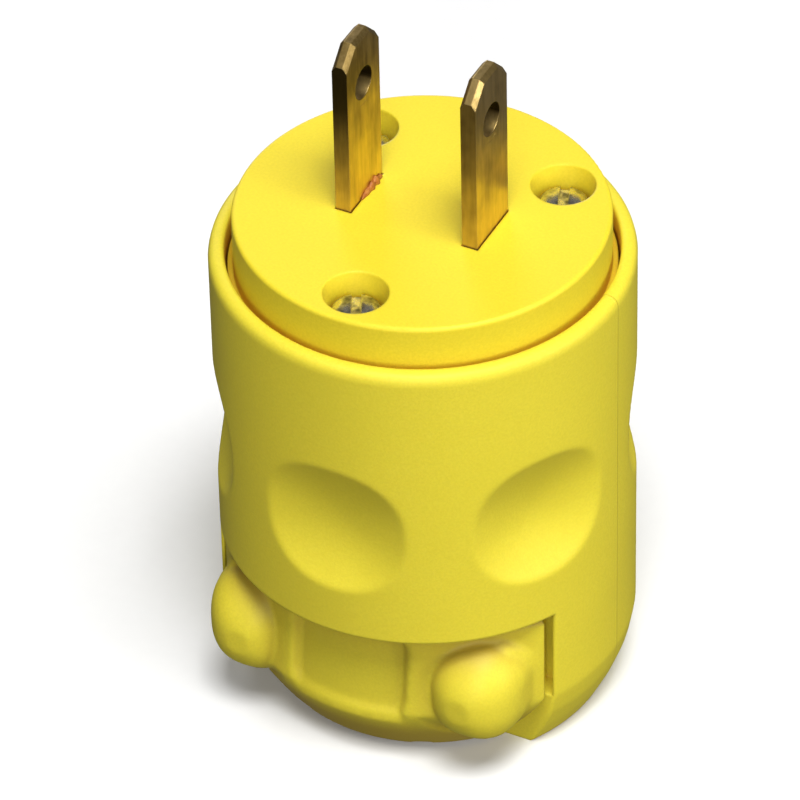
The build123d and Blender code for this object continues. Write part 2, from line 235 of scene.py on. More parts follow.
def stretched(tree, place, scale):
    """Coordinates stretched along the axes."""
    return node(tree, "ShaderNodeMapping", {"Vector": place, "Scale": scale}).outputs["Vector"]


def edge_share(tree, radius):
    """Softened normal of the rounded edges, and how strongly a point belongs to an edge."""
    soft = node(tree, "ShaderNodeBevel", {"Radius": radius}, samples=6).outputs["Normal"]
    flat = node(tree, "ShaderNodeNewGeometry").outputs["Normal"]
    same = node(tree, "ShaderNodeVectorMath", {0: soft, 1: flat}, operation="DOT_PRODUCT").outputs["Value"]
    return soft, span(tree, same, 1.0, 0.8)


def new_material(name):
    """Node material and its shader."""
    material = bpy.data.materials.new(name)
    material.use_nodes = True
    tree = material.node_tree
    place = node(tree, "ShaderNodeTexCoord").outputs["Object"]
    return material, tree, tree.nodes["Principled BSDF"], place


def finish_shader(tree, shader, colour, roughness, height, distance, normal):
    """Joins colour, roughness and bump to a shader."""
    bump = node(tree, "ShaderNodeBump", {"Height": height, "Distance": distance, "Normal": normal, "Strength": 1.0})
    tree.links.new(colour, shader.inputs["Base Color"])
    tree.links.new(roughness, shader.inputs["Roughness"])
    tree.links.new(bump.outputs["Normal"], shader.inputs["Normal"])


def moulded_vinyl(name, colour, settings, parted=False, overhang_shaded=False):
    """Satin vinyl with a fine mould grain, rubbed edges, and painted shade with a reddish glow in its crevices; it
    can also paint shade under an overhanging edge.
    """
    material, tree, shader, place = new_material(name)
    soft, edge = edge_share(tree, settings.edge_round)
    broad = cloud(tree, place, 9 * MM)
    fine = cloud(tree, place, settings.grain_size, 3.0, 0.6)
    deep = tuple(c * 0.90 for c in colour)
    pale = tuple(min(1.0, c * 1.05 + 0.01) for c in colour)
    body = blend(tree, span(tree, broad, 0.3, 0.7), deep, colour)
    speckled = blend(tree, span(tree, fine, 0.35, 0.65, 0.0, 0.6), deep, blend(tree, 0.5, body, pale))
    rubbed = blend(tree, sum_of(tree, "MULTIPLY", edge, 0.3), speckled, pale)
    # Painted shade: gaps and corners found by a short occlusion take a deeper, reddish colour in place of shade and
    # bounce glow.
    open_share = node(tree, "ShaderNodeAmbientOcclusion", {"Distance": 1.6 * MM}, samples=8).outputs["AO"]
    crevice_shade_mask = span(tree, open_share, 0.45, 0.05, 0.0, 0.75, smooth=True)
    shade_painted_colour = blend(tree, crevice_shade_mask, rubbed, settings.crevice_shade_colour)
    # Painted shade under the shell's overhang, from a wide occlusion.
    if overhang_shaded:
        wide_share = node(tree, "ShaderNodeAmbientOcclusion", {"Distance": 6 * MM}, samples=8).outputs["AO"]
        overhang_shade_mask = span(tree, wide_share, 1.0, 0.6, 0.0, 0.85)
        shade_painted_colour = blend(tree, overhang_shade_mask, shade_painted_colour, settings.overhang_shade_colour)
    height = fine
    if parted:
        axes = node(tree, "ShaderNodeSeparateXYZ", {"Vector": place})
        across = sum_of(tree, "ABSOLUTE", axes.outputs["Y"])
        line = span(tree, across, settings.parting_width / 2, settings.parting_width, 1.0, 0.0, smooth=True)
        height = sum_of(tree, "ADD", fine, sum_of(tree, "MULTIPLY", line, 4.0))
    gloss = sum_of(tree, "ADD", span(tree, broad, 0.3, 0.7, settings.roughness - 0.04, settings.roughness + 0.04),
                   sum_of(tree, "MULTIPLY", edge, -0.08))
    finish_shader(tree, shader, shade_painted_colour, gloss, height, settings.grain_height, soft)
    shader.inputs["Subsurface Weight"].default_value = 0.12
    shader.inputs["Subsurface Radius"].default_value = (1.0, 0.7, 0.12)
    shader.inputs["Subsurface Scale"].default_value = 0.7 * MM
    shader.inputs["IOR"].default_value = 1.5
    shader.inputs["Specular IOR Level"].default_value = 0.35
    return material


def burnt_vinyl(name):
    """Scorched vinyl, reddish brown with glossy lumps."""
    material, tree, shader, place = new_material(name)
    soft, edge = edge_share(tree, 0.1 * MM)
    lumps = cloud(tree, place, 0.5 * MM, 3.0, 0.6)
    body = blend(tree, span(tree, lumps, 0.35, 0.65), (0.34, 0.085, 0.02), (0.52, 0.21, 0.03))
    rubbed = blend(tree, sum_of(tree, "MULTIPLY", edge, 0.4), body, (0.60, 0.30, 0.05))
    gloss = span(tree, lumps, 0.3, 0.7, 0.5, 0.65)
    finish_shader(tree, shader, rubbed, gloss, lumps, 0.03 * MM, soft)
    return material


def aged_brass(name, settings, foot=None, tip=None):
    """Rolled brass with long streaks, darker towards the tip, with painted shade on the blades' narrow side faces and
    inside the tip holes.
    """
    material, tree, shader, place = new_material(name)
    soft, edge = edge_share(tree, 0.12 * MM)
    streak = cloud(tree, stretched(tree, place, (1.0, 1.0, 0.07)), settings.streak_width, 4.0, 0.65)
    patch = cloud(tree, stretched(tree, place, (1.0, 1.0, 0.6)), 3.4 * MM, 3.0, 0.6)
    worn = sum_of(tree, "ADD", span(tree, streak, 0.35, 0.7, 0.0, 0.3), span(tree, patch, 0.35, 0.7, 0.0, 0.45))
    dark = tuple(c * 0.16 for c in settings.tarnish_colour)
    narrow_face_shade = 0.0
    if foot:
        axes = node(tree, "ShaderNodeSeparateXYZ", {0: place}).outputs
        normal = node(tree, "ShaderNodeNewGeometry").outputs["Normal"]
        facing = node(tree, "ShaderNodeSeparateXYZ", {0: normal}).outputs
        right = span(tree, axes["X"], -MM, MM)
        rise = span(tree, axes["Z"], foot, foot + 0.8 * (tip - foot), 0.0, 0.75)
        climb = sum_of(tree, "MULTIPLY", rise, span(tree, right, 0.0, 1.0, 1.0, 0.35))
        worn = sum_of(tree, "ADD", sum_of(tree, "ADD", worn, climb), sum_of(tree, "MULTIPLY", right, 0.2))
        # Painted shade: side faces that face along Y are darkened, more towards the tip and less on the right blade.
        narrow_face_shade = sum_of(tree, "MULTIPLY", span(tree, sum_of(tree, "ABSOLUTE", facing["Y"]), 0.85, 0.97),
                         span(tree, right, 0.0, 1.0, 1.0, 0.6))
        # Painted shade inside the tip holes: the walls that do not face up are darkened.
        hole_height = sum_of(tree, "SUBTRACT", axes["Z"], foot + settings.hole_height)
        from_hole = sum_of(tree, "SQRT", sum_of(tree, "ADD", sum_of(tree, "POWER", hole_height, 2.0),
                                                sum_of(tree, "POWER", axes["Y"], 2.0)))
        inside = span(tree, from_hole, settings.hole_radius * 1.04, settings.hole_radius * 1.01)
        under = sum_of(tree, "MULTIPLY", inside, span(tree, facing["Z"], 0.7, 0.1))
    colour = blend(tree, span(tree, worn, 0.25, 1.25), settings.brass_colour, settings.tarnish_colour)
    bright = tuple(min(1.0, c * 1.1) for c in settings.brass_colour)
    rubbed = blend(tree, sum_of(tree, "MULTIPLY", edge, 0.3), colour, bright)
    if foot:
        # Both painted shades darken towards a near-black brass.
        depth = sum_of(tree, "MULTIPLY", narrow_face_shade, span(tree, rise, 0.1, 0.6, 0.2, 0.95))
        rubbed = blend(tree, sum_of(tree, "MAXIMUM", depth, under), rubbed, dark)
    gloss = sum_of(tree, "ADD", span(tree, worn, 0.2, 1.4, 0.32, 0.52), sum_of(tree, "MULTIPLY", narrow_face_shade, 0.1))
    finish_shader(tree, shader, rubbed, gloss, streak, 0.02 * MM, soft)
    shader.inputs["Metallic"].default_value = 1.0
    return material


def plated_steel(name, settings):
    """Bright nickel plating with fine turning marks, darker in the slots and other narrow recesses."""
    material, tree, shader, place = new_material(name)
    soft, edge = edge_share(tree, 0.15 * MM)
    mark = cloud(tree, place, 0.12 * MM, 3.0, 0.6)
    broad = cloud(tree, place, 1.0 * MM)
    colour = settings.plating_colour
    dull = tuple(c * 0.22 for c in colour)
    body = blend(tree, span(tree, broad, 0.42, 0.68), colour, dull)
    # Darker towards near black in the slots and other narrow recesses, from a short occlusion.
    open_share = node(tree, "ShaderNodeAmbientOcclusion", {"Distance": 0.8 * MM}, samples=8).outputs["AO"]
    recess_darkening = span(tree, open_share, 0.6, 0.15, 0.0, 0.7, smooth=True)
    recess_darkened = blend(tree, recess_darkening, body, (0.05, 0.04, 0.03))
    rubbed = blend(tree, sum_of(tree, "MULTIPLY", edge, 0.5), recess_darkened, (0.86, 0.85, 0.82))
    gloss = sum_of(tree, "ADD", span(tree, broad, 0.3, 0.7, 0.2, 0.34), sum_of(tree, "MULTIPLY", mark, 0.06))
    finish_shader(tree, shader, rubbed, gloss, mark, 0.006 * MM, soft)
    shader.inputs["Metallic"].default_value = 1.0
    return material


def dark_plastic(name):
    """Dark moulded insulator with a faint sheen and paler rubbed edges."""
    material, tree, shader, place = new_material(name)
    soft, edge = edge_share(tree, 0.2 * MM)
    fine = cloud(tree, place, 0.3 * MM, 3.0, 0.6)
    broad = cloud(tree, place, 6 * MM)
    body = blend(tree, span(tree, broad, 0.3, 0.7), (0.030, 0.024, 0.020), (0.050, 0.042, 0.036))
    rubbed = blend(tree, sum_of(tree, "MULTIPLY", edge, 0.5), body, (0.12, 0.10, 0.09))
    gloss = span(tree, fine, 0.3, 0.7, 0.42, 0.55)
    finish_shader(tree, shader, rubbed, gloss, fine, 0.01 * MM, soft)
    return material


def pale_table(name):
    """Pale, matt table top."""
    material, tree, shader, place = new_material(name)
    fine = cloud(tree, place, 1.5 * MM, 3.0, 0.6)
    colour = blend(tree, fine, (0.90, 0.90, 0.90), (0.93, 0.93, 0.93))
    bump = node(tree, "ShaderNodeBump", {"Height": fine, "Distance": 0.01 * MM})
    tree.links.new(colour, shader.inputs["Base Color"])
    tree.links.new(bump.outputs["Normal"], shader.inputs["Normal"])
    shader.inputs["Roughness"].default_value = 0.7
    return material


def coat(names, material):
    """Gives CAD nodes a material."""
    for name in names:
        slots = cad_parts[name].material_slots
        if not slots:
            raise RuntimeError(f"{name} has no material slot")
        for place in slots:
            place.material = material


def new_piece(name, mesh):
    """Object for a mesh that is already in its place."""
    piece = bpy.data.objects.new(name, mesh)
    bpy.context.scene.collection.objects.link(piece)
    return piece


def merged_copy(name, node_name):
    """Copy of a CAD node with its loose triangles joined."""
    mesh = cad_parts[node_name].data.copy()
    work = bmesh.new()
    work.from_mesh(mesh)
    bmesh.ops.remove_doubles(work, verts=work.verts, dist=1e-7)
    bmesh.ops.recalc_face_normals(work, faces=work.faces)
    work.to_mesh(mesh)
    work.free()
    return new_piece(name, mesh)


def settle(piece):
    """Turns a piece's modifiers into its own mesh."""
    whole = piece.evaluated_get(bpy.context.evaluated_depsgraph_get())
    mesh = bpy.data.meshes.new_from_object(whole)
    piece.modifiers.clear()
    piece.data = mesh


def join_part(piece, nodes, material, sharp):
    """Lets a finished piece stand for its CAD nodes, with smooth faces and crisp edges."""
    piece.data.materials.clear()
    piece.data.materials.append(material)
    piece.data.polygons.foreach_set("material_index", [0] * len(piece.data.polygons))
    piece.data.shade_smooth()
    piece.data.set_sharp_from_angle(angle=math.radians(sharp))
    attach(piece, "root")
    if nodes:
        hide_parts(*nodes)


class PLUG_OT_vinyl_parts(bpy.types.Operator):
    """Finish the face and the blade carrier."""

    bl_idname = "plug.vinyl_parts"
    bl_label = "Face and carrier"

    def execute(self, context):
        settings = context.scene.plug_vinyl
        coat(["face_insert"], moulded_vinyl("face_vinyl", settings.face_colour, settings))
        coat(["blade_carrier"], dark_plastic("carrier_plastic"))
        return {"FINISHED"}


class PLUG_OT_clamp_jaw(bpy.types.Operator):
    """Mould the clamp jaw with a leaning front and soft edges."""

    bl_idname = "plug.clamp_jaw"
    bl_label = "Clamp jaw"

    def execute(self, context):
        settings = context.scene.plug_jaw
        vinyl = context.scene.plug_vinyl
        jaw = merged_copy("jaw_moulding", "clamp_jaw")
        self.skin(jaw, settings.skin_step)
        count = len(jaw.data.vertices)
        if not 10000 < count < 100000:
            raise RuntimeError(f"the jaw's skin has {count} points")
        points = np.empty(count * 3)
        jaw.data.vertices.foreach_get("co", points)
        points = points.reshape(-1, 3)
        points[:, 1] = self.moulded_depth(*points.T, settings)
        jaw.data.vertices.foreach_set("co", points.ravel())
        self.skin(jaw, settings.skin_step)
        self.relax(jaw, settings.softening)
        edges = jaw.vertex_groups.new(name="pocket_edges")
        middle, reach = settings.label_half_width + 0.35 * MM, 0.9 * MM
        edges.add([point.index for point in jaw.data.vertices
                   if abs(abs(point.co.x) - middle) < reach and point.co.y < -settings.pocket_back], 1.0, "REPLACE")
        self.relax(jaw, 5 * settings.softening, "pocket_edges")
        # The jaw's finish has painted shade under the shell's edge.
        finish = moulded_vinyl("jaw_vinyl", vinyl.shell_colour, vinyl, overhang_shaded=True)
        join_part(jaw, ["clamp_jaw"], finish, 80)
        return {"FINISHED"}

    def moulded_depth(self, x, y, z, settings):
        """New depth of the skin's points: a leaning front, a lip, domed humps and a gap at each side."""
        low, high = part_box("clamp_jaw")
        front = -low.y
        before_back = y < high.y - settings.skin_step
        foot_share, foot_top, skin_share, band = 0.8, 0.4 * high.z, 0.8, 0.1
        radius = np.interp(z, [low.z, foot_top], [foot_share * front, front])
        wide = np.sqrt(np.maximum(radius**2 - x**2, 0))
        share = np.clip((wide / front - 0.5) / 0.3, 0, 1)
        inward = settings.lean * share * np.clip((z - low.z) / (high.z - low.z), 0, 1) ** 0.8
        outside = np.clip((np.hypot(x, y) - skin_share * radius) / (band * radius), 0, 1)
        skinned = np.where(before_back, y + inward * outside, y)

        fall = np.clip((z - settings.lip_height) / settings.lip_round + 1, 0, 1) ** 2
        fall *= z < settings.lip_height + settings.skin_step
        fall *= np.clip((settings.label_half_width - np.abs(x)) / (2 * settings.skin_step), 0, 1)
        lip_fall = 0.9 * MM
        skinned = np.maximum(skinned, np.where(fall > 0, inward - wide + lip_fall * fall, skinned))

        beside = np.abs(np.abs(x) - settings.hump_reach) / settings.hump_half_width
        above = np.abs(z - settings.hump_height) / settings.hump_half_height
        squareness, rim = 2.5, 1.08
        from_middle = (beside**squareness + above**squareness) ** (1 / squareness)
        dome = settings.dome_depth * (1 - np.sqrt(1 - np.minimum(from_middle, 1) ** 2)) - settings.hump_nose
        humped = np.maximum(y, np.minimum(dome, inward - wide))
        seated = np.where((from_middle < rim) & before_back, humped, skinned)

        aside = np.clip((np.abs(x) - settings.gap_start) / MM, 0, 1)
        gap_reach = 9 * settings.skin_step
        return seated - settings.gap_width * aside * np.clip((y - high.y) / gap_reach + 1, 0, 1)

    def relax(self, jaw, rounds, group=""):
        """Softens the skin, or only one group of its points."""
        soft = jaw.modifiers.new("soft", "SMOOTH")
        soft.factor = 0.5
        soft.iterations = rounds
        soft.vertex_group = group
        settle(jaw)

    def skin(self, jaw, step):
        """Covers the jaw with a skin of even faces."""
        skin = jaw.modifiers.new("skin", "REMESH")
        skin.mode = "VOXEL"
        skin.voxel_size = step
        settle(jaw)


def new_shape(name, *sizes):
    """Geometry tree with its sizes, place, lean and finish as inputs, its input node and its output node."""
    tree = bpy.data.node_groups.new(name, "GeometryNodeTree")
    tree.interface.new_socket("Geometry", in_out="INPUT", socket_type="NodeSocketGeometry")
    tree.interface.new_socket("Geometry", in_out="OUTPUT", socket_type="NodeSocketGeometry")
    kinds = {**dict.fromkeys(sizes, "Float"), "Place": "Vector", "Lean": "Rotation", "Finish": "Material"}
    for label, kind in kinds.items():
        tree.interface.new_socket(label, in_out="INPUT", socket_type=f"NodeSocket{kind}")
    return tree, tree.nodes.new("NodeGroupInput").outputs, tree.nodes.new("NodeGroupOutput")


def close_shape(tree, end, geometry, given):
    """Puts a finished shape in its place with its material."""
    placed = node(tree, "GeometryNodeTransform", {
        "Geometry": geometry, "Translation": given["Place"], "Rotation": given["Lean"],
    })
    real = node(tree, "GeometryNodeRealizeInstances", {"Geometry": placed.outputs[0]})
    coated = node(tree, "GeometryNodeSetMaterial", {"Geometry": real.outputs[0], "Material": given["Finish"]})
    tree.links.new(coated.outputs[0], end.inputs[0])


def turning_grid(tree, around, rows):
    """Grid to turn a profile on, with its shares round the axis and along the profile."""
    grid = node(tree, "GeometryNodeMeshGrid", {
        "Size X": 1.0, "Size Y": 1.0, "Vertices X": around, "Vertices Y": rows,
    })
    axes = node(tree, "ShaderNodeSeparateXYZ", {0: node(tree, "GeometryNodeInputPosition").outputs[0]})
    shares = [sum_of(tree, "ADD", axes.outputs[index], 0.5) for index in (0, 1)]
    return grid.outputs[0], shares[0], shares[1]


def turned(tree, grid, around, radius, height):
    """Closed solid of revolution from a grid."""
    angle = sum_of(tree, "MULTIPLY", around, math.tau)
    place = node(
        tree,
        "ShaderNodeCombineXYZ",
        {
            "X": sum_of(tree, "MULTIPLY", radius, sum_of(tree, "COSINE", angle)),
            "Y": sum_of(tree, "MULTIPLY", radius, sum_of(tree, "SINE", angle)),
            "Z": height,
        },
    )
    moved = node(tree, "GeometryNodeSetPosition", {"Geometry": grid, "Position": place.outputs[0]})
    closed = node(tree, "GeometryNodeMergeByDistance", {"Geometry": moved.outputs[0], "Distance": 1e-6})
    return node(tree, "GeometryNodeFlipFaces", {"Mesh": closed.outputs[0]}).outputs[0]


def profile(tree, share, points):
    """Value that runs through the points of a profile, each a share along it and a height."""
    curve = node(tree, "ShaderNodeFloatCurve", {"Factor": 1.0, "Value": share})
    line = curve.mapping.curves[0]
    for place, (along, value) in enumerate(points):
        if place < 2:
            line.points[place].location = (along, value)
        else:
            line.points.new(along, value)
    for point in line.points:
        point.handle_type = "VECTOR"
    curve.mapping.update()
    return curve.outputs[0]


def ridge(tree, turns):
    """Wave that rises from 0 to 1 and falls again over each turn."""
    return sum_of(tree, "MULTIPLY", sum_of(tree, "PINGPONG", turns, 0.5), 2.0)


def thread_wave(tree, around, height, pitch):
    """Ridge of a helical thread, from 0 to 1."""
    return ridge(tree, sum_of(tree, "ADD", sum_of(tree, "DIVIDE", height, pitch), around))


def machine_screw_tree():
    """Slotted screw with a domed head, a threaded shank and a tapered tip."""
    tree, given, end = new_shape("machine_screw", "Head radius", "Head height", "Shank radius", "Length", "Pitch",
                                 "Thread depth", "Slot width", "Slot depth", "Turn")
    grid, around, along = turning_grid(tree, 65, 49)
    wide = profile(tree, along, [
        (0, 0), (0.15, 0.35), (0.3, 0.66), (0.42, 0.86), (0.5, 0.95), (0.56, 0.99), (0.62, 1), (0.8, 1), (1, 0),
    ])
    tall = profile(tree, along, [
        (0, 1), (0.15, 0.985), (0.3, 0.94), (0.42, 0.86), (0.5, 0.76), (0.56, 0.64), (0.62, 0.5), (0.8, 0), (1, 0),
    ])
    dome = turned(tree, grid, around, sum_of(tree, "MULTIPLY", wide, given["Head radius"]),
                  sum_of(tree, "MULTIPLY", tall, given["Head height"]))
    cutter_size = node(tree, "ShaderNodeCombineXYZ", {
        "X": sum_of(tree, "MULTIPLY", given["Head radius"], 4.0),
        "Y": given["Slot width"],
        "Z": sum_of(tree, "MULTIPLY", given["Slot depth"], 2.0),
    })
    cutter = node(tree, "GeometryNodeMeshCube", {"Size": cutter_size.outputs[0]})
    lifted = node(tree, "GeometryNodeTransform", {
        "Geometry": cutter.outputs[0],
        "Translation": node(tree, "ShaderNodeCombineXYZ", {"Z": given["Head height"]}).outputs[0],
        "Rotation": node(tree, "ShaderNodeCombineXYZ", {"Z": given["Turn"]}).outputs[0],
    })
    slotted = node(
        tree, "GeometryNodeMeshBoolean", {0: dome, 1: lifted.outputs[0]}, operation="DIFFERENCE", solver="MANIFOLD"
    )
    grid, around, along = turning_grid(tree, 41, 201)
    body = profile(tree, along, [(0, 0), (0.005, 1), (0.94, 1), (0.995, 0.72), (1, 0)])
    depth = sum_of(tree, "MULTIPLY", span(tree, along, 0.005, 0.995), given["Length"])
    ridge = thread_wave(tree, around, depth, given["Pitch"])
    groove = sum_of(tree, "MULTIPLY", sum_of(tree, "MULTIPLY", ridge, given["Thread depth"]), body)
    radius = sum_of(tree, "SUBTRACT", sum_of(tree, "MULTIPLY", body, given["Shank radius"]), groove)
    shank = turned(tree, grid, around, radius, sum_of(tree, "MULTIPLY", depth, -1.0))
    whole = node(tree, "GeometryNodeJoinGeometry")
    tree.links.new(shank, whole.inputs[0])
    tree.links.new(slotted.outputs[0], whole.inputs[0])
    close_shape(tree, end, whole.outputs[0], given)
    return tree


def threaded_insert_tree():
    """Knurled sleeve with a groove round its middle and a thread through it."""
    tree, given, end = new_shape("threaded_insert", "Radius", "Bore radius", "Length", "Pitch", "Thread depth",
                                 "Knurl depth", "Knurls")
    grid, around, along = turning_grid(tree, 133, 161)
    inner = profile(tree, along, [(0, 0), (0.42, 0), (0.5, 1), (0.92, 1), (1, 0)])
    down = profile(tree, along, [(0, 0), (0.02, 0.02), (0.42, 1), (0.5, 1), (0.92, 0), (1, 0)])
    depth = sum_of(tree, "MULTIPLY", down, given["Length"])
    wall = sum_of(tree, "SUBTRACT", given["Radius"], given["Bore radius"])
    smooth_radius = sum_of(tree, "SUBTRACT", given["Radius"], sum_of(tree, "MULTIPLY", inner, wall))
    groove = profile(tree, down, [
        (0, 0.6), (0.04, 0), (0.33, 0), (0.36, 1), (0.64, 1), (0.67, 0), (0.96, 0), (1, 0.6),
    ])
    teeth = ridge(tree, sum_of(tree, "MULTIPLY", around, given["Knurls"]))
    rough = sum_of(tree, "MAXIMUM", teeth, sum_of(tree, "MULTIPLY", groove, 1.9))
    skin = sum_of(tree, "SUBTRACT", 1.0, span(tree, inner, 0.0, 0.02))
    cut = sum_of(tree, "MULTIPLY", sum_of(tree, "MULTIPLY", rough, given["Knurl depth"]), skin)
    thread = sum_of(tree, "MULTIPLY", thread_wave(tree, around, depth, given["Pitch"]), given["Thread depth"])
    bore = sum_of(tree, "MULTIPLY", thread, span(tree, inner, 0.98, 1.0))
    radius = sum_of(tree, "ADD", sum_of(tree, "SUBTRACT", smooth_radius, cut), bore)
    sleeve = turned(tree, grid, around, radius, sum_of(tree, "MULTIPLY", depth, -1.0))
    close_shape(tree, end, sleeve, given)
    return tree


def shaped(tree, name, values):
    """Plain mesh piece from a geometry tree and its sizes."""
    piece = new_piece(name, bpy.data.meshes.new(name))
    shape = piece.modifiers.new("shape", "NODES")
    shape.node_group = tree
    for item in tree.interface.items_tree:
        if item.in_out == "INPUT" and item.name in values:
            shape[item.identifier] = values[item.name]
    settle(piece)
    return piece


def shell_tree():
    """Skin of the shell: a profile turned round the axis, with a ring of scooped dimples."""
    tree, given, end = new_shape("moulded_shell", "Radius", "Height", "Inner radius", "Dimples", "Half width",
                                 "Half height", "Middle", "Depth")
    grid, around, down = turning_grid(tree, 361, 181)
    along = sum_of(tree, "SUBTRACT", 1.0, down)
    out = profile(tree, along, [
        (0, 0), (0.025, 0.29), (0.055, 0.62), (0.085, 0.87), (0.11, 1), (0.84, 1), (0.853, 0.95), (0.866, 0.84),
        (0.88, 0.71), (0.89, 0.58), (0.9, 0.5), (0.945, 0.5), (0.95, 0), (1, 0),
    ])
    rise = profile(tree, along, [
        (0, 0), (0.025, 0), (0.055, 0.045), (0.085, 0.09), (0.11, 0.137), (0.84, 0.981), (0.853, 0.992),
        (0.866, 0.998), (0.88, 1), (0.89, 1), (0.9, 0.995), (0.945, 0.787), (0.95, 0.787), (1, 0),
    ])
    wall = sum_of(tree, "SUBTRACT", given["Radius"], given["Inner radius"])
    plain = sum_of(tree, "ADD", sum_of(tree, "MULTIPLY", out, wall), given["Inner radius"])
    height = sum_of(tree, "MULTIPLY", rise, given["Height"])
    turn = sum_of(tree, "SUBTRACT", sum_of(tree, "FRACT", sum_of(tree, "MULTIPLY", around, given["Dimples"])), 0.5)
    girth = sum_of(tree, "DIVIDE", sum_of(tree, "MULTIPLY", given["Radius"], math.tau), given["Dimples"])
    beside = sum_of(tree, "DIVIDE", sum_of(tree, "MULTIPLY", turn, girth), given["Half width"])
    above = sum_of(tree, "DIVIDE", sum_of(tree, "SUBTRACT", height, given["Middle"]), given["Half height"])
    squareness, steepness, edge_softness = 2.25, 0.8, 0.08
    powers = [sum_of(tree, "POWER", sum_of(tree, "ABSOLUTE", share), squareness) for share in (beside, above)]
    bowl = sum_of(tree, "SUBTRACT", 1.0, sum_of(tree, "POWER", sum_of(tree, "ADD", *powers), steepness))
    scoop = sum_of(tree, "SMOOTH_MAX", bowl, 0.0, edge_softness)
    skin = span(tree, out, 0.9, 0.99)
    depth = sum_of(tree, "MULTIPLY", sum_of(tree, "MULTIPLY", scoop, given["Depth"]), skin)
    close_shape(tree, end, turned(tree, grid, around, sum_of(tree, "SUBTRACT", plain, depth), height), given)
    return tree


def block(name, low, high):
    """Helper box between two corners."""
    work = bmesh.new()
    bmesh.ops.create_cube(work, size=1.0)
    low, high = Vector(low), Vector(high)
    for corner in work.verts:
        corner.co = (low + high) / 2 + corner.co * (high - low)
    mesh = bpy.data.meshes.new(name)
    work.to_mesh(mesh)
    work.free()
    return new_piece(name, mesh)


def rod(name, radius, start, end):
    """Helper cylinder between two points."""
    start, end = Vector(start), Vector(end)
    work = bmesh.new()
    depth = (end - start).length
    bmesh.ops.create_cone(work, cap_ends=True, segments=96, radius1=radius, radius2=radius, depth=depth)
    turn = (end - start).to_track_quat("Z", "Y").to_matrix().to_4x4()
    bmesh.ops.transform(work, matrix=Matrix.Translation((start + end) / 2) @ turn, verts=work.verts)
    mesh = bpy.data.meshes.new(name)
    work.to_mesh(mesh)
    work.free()
    return new_piece(name, mesh)


def combine(piece, operation, other):
    """Adds, cuts or keeps a helper's shape in a piece, and takes the helper away."""
    joint = piece.modifiers.new("joint", "BOOLEAN")
    joint.operation = operation
    joint.solver = "MANIFOLD"
    joint.object = other
    settle(piece)
    bpy.data.objects.remove(other)


class PLUG_OT_shell(bpy.types.Operator):
    """Mould the shell's dimpled skin round its inner forms."""

    bl_idname = "plug.shell"
    bl_label = "Shell"

    def execute(self, context):
        settings = context.scene.plug_shell
        vinyl = context.scene.plug_vinyl
        finish = moulded_vinyl("shell_vinyl", vinyl.shell_colour, vinyl, parted=True)
        skin = shaped(shell_tree(), "dimpled_shell", {
            "Radius": settings.radius, "Height": settings.height, "Inner radius": settings.inner_radius,
            "Dimples": float(settings.dimple_count), "Half width": settings.dimple_half_width,
            "Half height": settings.dimple_half_height, "Middle": settings.dimple_middle,
            "Depth": settings.dimple_depth, "Finish": finish,
        })
        past = 2 * settings.radius
        floor, top = -settings.clamp_plane, settings.window_top
        combine(skin, "DIFFERENCE", block("window", (-past, -past, -MM), (past, floor, top)))
        for reach in (-settings.bore_reach, settings.bore_reach):
            start = (reach, settings.bore_seat, settings.bore_height)
            combine(skin, "DIFFERENCE", rod("bore", settings.bore_radius, start, (reach, past, settings.bore_height)))
        core = merged_copy("core", "shell")
        combine(core, "INTERSECT", rod("keep", settings.core_radius, (0, 0, -MM), (0, 0, settings.height + MM)))
        combine(skin, "UNION", core)
        for left, right in ((-settings.slit_outer, -settings.slit_inner), (settings.slit_inner, settings.slit_outer)):
            slit = block("slit", (left, floor - MM, settings.slit_foot), (right, floor + settings.slit_depth, top))
            combine(skin, "DIFFERENCE", slit)
        faces = len(skin.data.polygons)
        if not 30000 < faces < 190000:
            raise RuntimeError(f"the shell has {faces} faces")
        join_part(skin, ["shell"], finish, 32)
        return {"FINISHED"}


def screw_axis(low, high, lean):
    """Middle of a box across the axis of its screw, at the end where the head is."""
    middle = (low + high) / 2
    up = Vector((0, 0, 1))
    up.rotate(lean)
    return middle + up * (abs(up.dot(high - low)) / 2)


